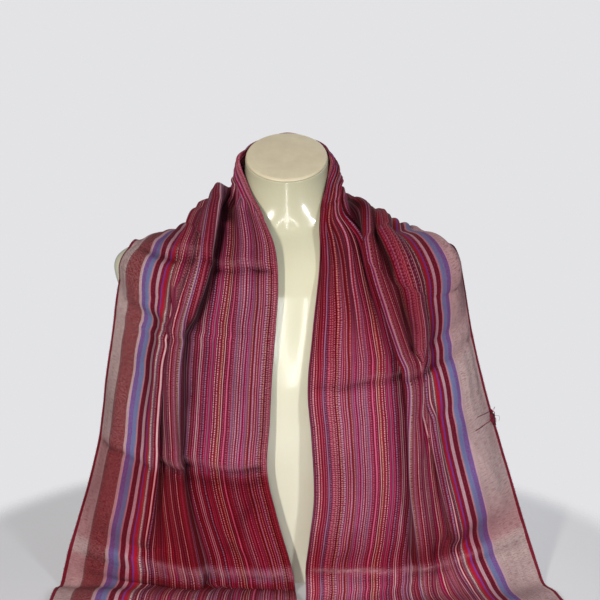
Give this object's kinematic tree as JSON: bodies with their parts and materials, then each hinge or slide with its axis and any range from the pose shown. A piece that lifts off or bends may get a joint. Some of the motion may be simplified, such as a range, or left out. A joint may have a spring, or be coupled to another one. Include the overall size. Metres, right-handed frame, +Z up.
{
  "type": "scarf on a limbless torso form",
  "caption": "Thin striped scarf, folded lengthwise and draped round the neck of a limbless torso form, its two ends hanging down the front onto the table.",
  "frame": {"origin": "middle of the torso form's flat base, on the table", "axes": "+Z up, -Y to the front of the form, +X to the form's own left, which is the viewer's right"},
  "size_m": [0.604, 0.4518, 0.5206],
  "materials": {
    "form_shell": "moulded ivory shell, glossy",
    "form_cap": "flat beige plate, satin",
    "scarf_cloth": "thin plain-woven cloth with fine lengthwise stripes in crimson, plum, lilac, ochre, cream and grey"
  },
  "bodies": {
    "root": {"form_torso": "form_shell", "form_neck_cap": "form_cap", "scarf_left_end": "scarf_cloth", "scarf_left_front": "scarf_cloth", "scarf_neck_and_back": "scarf_cloth", "scarf_right_front": "scarf_cloth", "scarf_right_end": "scarf_cloth"}
  },
  "joints": []
}
